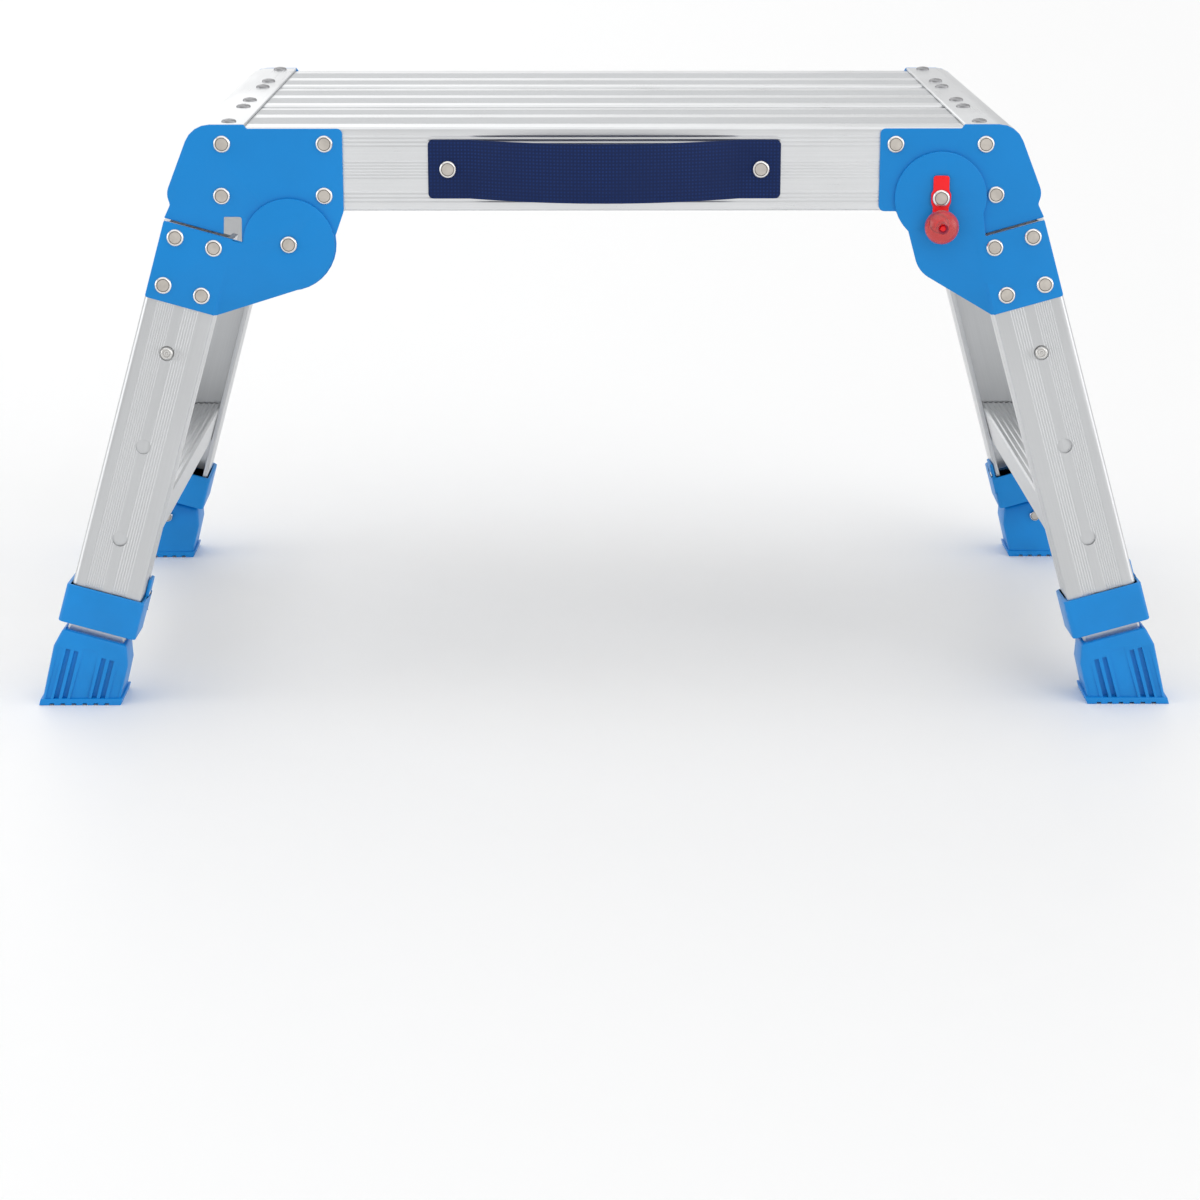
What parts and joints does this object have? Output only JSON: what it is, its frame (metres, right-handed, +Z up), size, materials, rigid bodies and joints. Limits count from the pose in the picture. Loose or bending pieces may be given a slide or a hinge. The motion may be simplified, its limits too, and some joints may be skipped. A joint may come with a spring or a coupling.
{
  "type": "work platform bench",
  "caption": "Folding aluminium work platform: ribbed plank deck, splayed telescopic legs on blue hinge plates, pull locks and strap handles.",
  "frame": {"origin": "centre of the footprint, on the ground under the four feet, with the bench unfolded and its legs at their shortest", "axes": "+Z up, +X along the deck's length towards the higher hinges, front strap handle at -Y"},
  "size_m": [0.885, 0.502, 0.4504],
  "materials": {
    "deck_aluminium": "ribbed mill finish, satin",
    "leg_aluminium": "fine lengthwise ribs, satin",
    "blue_steel": "smooth satin paint on pressed plate",
    "blue_plastic": "moulded, satin",
    "rivet_steel": "bright, lightly turned",
    "red_steel": "smooth gloss paint",
    "red_knob": "clear red, glossy",
    "navy_webbing": "woven webbing",
    "spring_steel": "bright spring steel"
  },
  "bodies": {
    "deck": {"front_plank": "deck_aluminium", "middle_plank": "deck_aluminium", "rear_plank": "deck_aluminium", "left_end_profile": "deck_aluminium", "right_end_profile": "deck_aluminium", "left_front_hinge_plate": "blue_steel", "left_front_pivot_pin": "rivet_steel", "left_rear_hinge_plate": "blue_steel", "left_rear_pivot_pin": "rivet_steel", "left_lock_lever": "red_steel", "right_front_hinge_plate": "blue_steel", "right_front_pivot_pin": "rivet_steel", "right_lock_lever": "red_steel", "right_rear_hinge_plate": "blue_steel", "right_rear_pivot_pin": "rivet_steel", "front_handle": "navy_webbing", "front_left_handle_rivet": "rivet_steel", "front_right_handle_rivet": "rivet_steel", "rear_handle": "navy_webbing", "rear_left_handle_rivet": "rivet_steel", "rear_right_handle_rivet": "rivet_steel"},
    "left_frame": {"left_tread": "leg_aluminium", "left_front_leg_bracket": "blue_steel", "left_front_outer_leg": "leg_aluminium", "left_front_collar": "blue_plastic", "left_rear_leg_bracket": "blue_steel", "left_rear_outer_leg": "leg_aluminium", "left_rear_collar": "blue_plastic"},
    "left_front_leg": {"left_front_inner_leg": "leg_aluminium", "left_front_foot": "blue_plastic", "left_front_foot_rivet": "rivet_steel"},
    "left_front_button": {"left_front_snap_button": "spring_steel"},
    "left_rear_leg": {"left_rear_inner_leg": "leg_aluminium", "left_rear_foot": "blue_plastic", "left_rear_foot_rivet": "rivet_steel"},
    "left_rear_button": {"left_rear_snap_button": "spring_steel"},
    "left_lock": {"left_lock_knob": "red_knob"},
    "right_frame": {"right_tread": "leg_aluminium", "right_front_leg_bracket": "blue_steel", "right_front_outer_leg": "leg_aluminium", "right_front_collar": "blue_plastic", "right_rear_leg_bracket": "blue_steel", "right_rear_outer_leg": "leg_aluminium", "right_rear_collar": "blue_plastic"},
    "right_front_leg": {"right_front_inner_leg": "leg_aluminium", "right_front_foot": "blue_plastic", "right_front_foot_rivet": "rivet_steel"},
    "right_front_button": {"right_front_snap_button": "spring_steel"},
    "right_lock": {"right_lock_knob": "red_knob"},
    "right_rear_leg": {"right_rear_inner_leg": "leg_aluminium", "right_rear_foot": "blue_plastic", "right_rear_foot_rivet": "rivet_steel"},
    "right_rear_button": {"right_rear_snap_button": "spring_steel"}
  },
  "joints": [
    {"name": "left_fold", "type": "hinge", "parent": "deck", "child": "left_frame", "pos_m": [-0.24, 0, 0.3577], "axis": [0, 1, 0], "range_deg": [-104.7, 0]},
    {"name": "left_front_extend", "type": "slide", "parent": "left_frame", "child": "left_front_leg", "axis": [-0.2699, -0.0732, -0.9601], "range_m": [0, 0.15]},
    {"name": "left_front_press", "type": "slide", "parent": "left_front_leg", "child": "left_front_button", "axis": [-0.0198, 0.9973, -0.0705], "range_m": [0, 0.005], "stiffness_N_per_m": 1500, "deforming": ["left_front_snap_button"]},
    {"name": "left_rear_extend", "type": "slide", "parent": "left_frame", "child": "left_rear_leg", "axis": [-0.2699, 0.0732, -0.9601], "range_m": [0, 0.15]},
    {"name": "left_rear_press", "type": "slide", "parent": "left_rear_leg", "child": "left_rear_button", "axis": [-0.0198, -0.9973, -0.0705], "range_m": [0, 0.005], "stiffness_N_per_m": 1500, "deforming": ["left_rear_snap_button"]},
    {"name": "left_lock_pull", "type": "slide", "parent": "deck", "child": "left_lock", "axis": [0, 1, 0], "range_m": [0, 0.008], "stiffness_N_per_m": 800},
    {"name": "right_fold", "type": "hinge", "parent": "deck", "child": "right_frame", "pos_m": [0.255, 0, 0.393], "axis": [0, -1, 0], "range_deg": [-105.7, 0]},
    {"name": "right_front_extend", "type": "slide", "parent": "right_frame", "child": "right_front_leg", "axis": [0.2699, -0.0732, -0.9601], "range_m": [0, 0.15]},
    {"name": "right_front_press", "type": "slide", "parent": "right_front_leg", "child": "right_front_button", "axis": [0.0198, 0.9973, -0.0705], "range_m": [0, 0.005], "stiffness_N_per_m": 1500, "deforming": ["right_front_snap_button"]},
    {"name": "right_lock_pull", "type": "slide", "parent": "deck", "child": "right_lock", "axis": [0, -1, 0], "range_m": [0, 0.008], "stiffness_N_per_m": 800},
    {"name": "right_rear_extend", "type": "slide", "parent": "right_frame", "child": "right_rear_leg", "axis": [0.2699, 0.0732, -0.9601], "range_m": [0, 0.15]},
    {"name": "right_rear_press", "type": "slide", "parent": "right_rear_leg", "child": "right_rear_button", "axis": [0.0198, -0.9973, -0.0705], "range_m": [0, 0.005], "stiffness_N_per_m": 1500, "deforming": ["right_rear_snap_button"]}
  ]
}
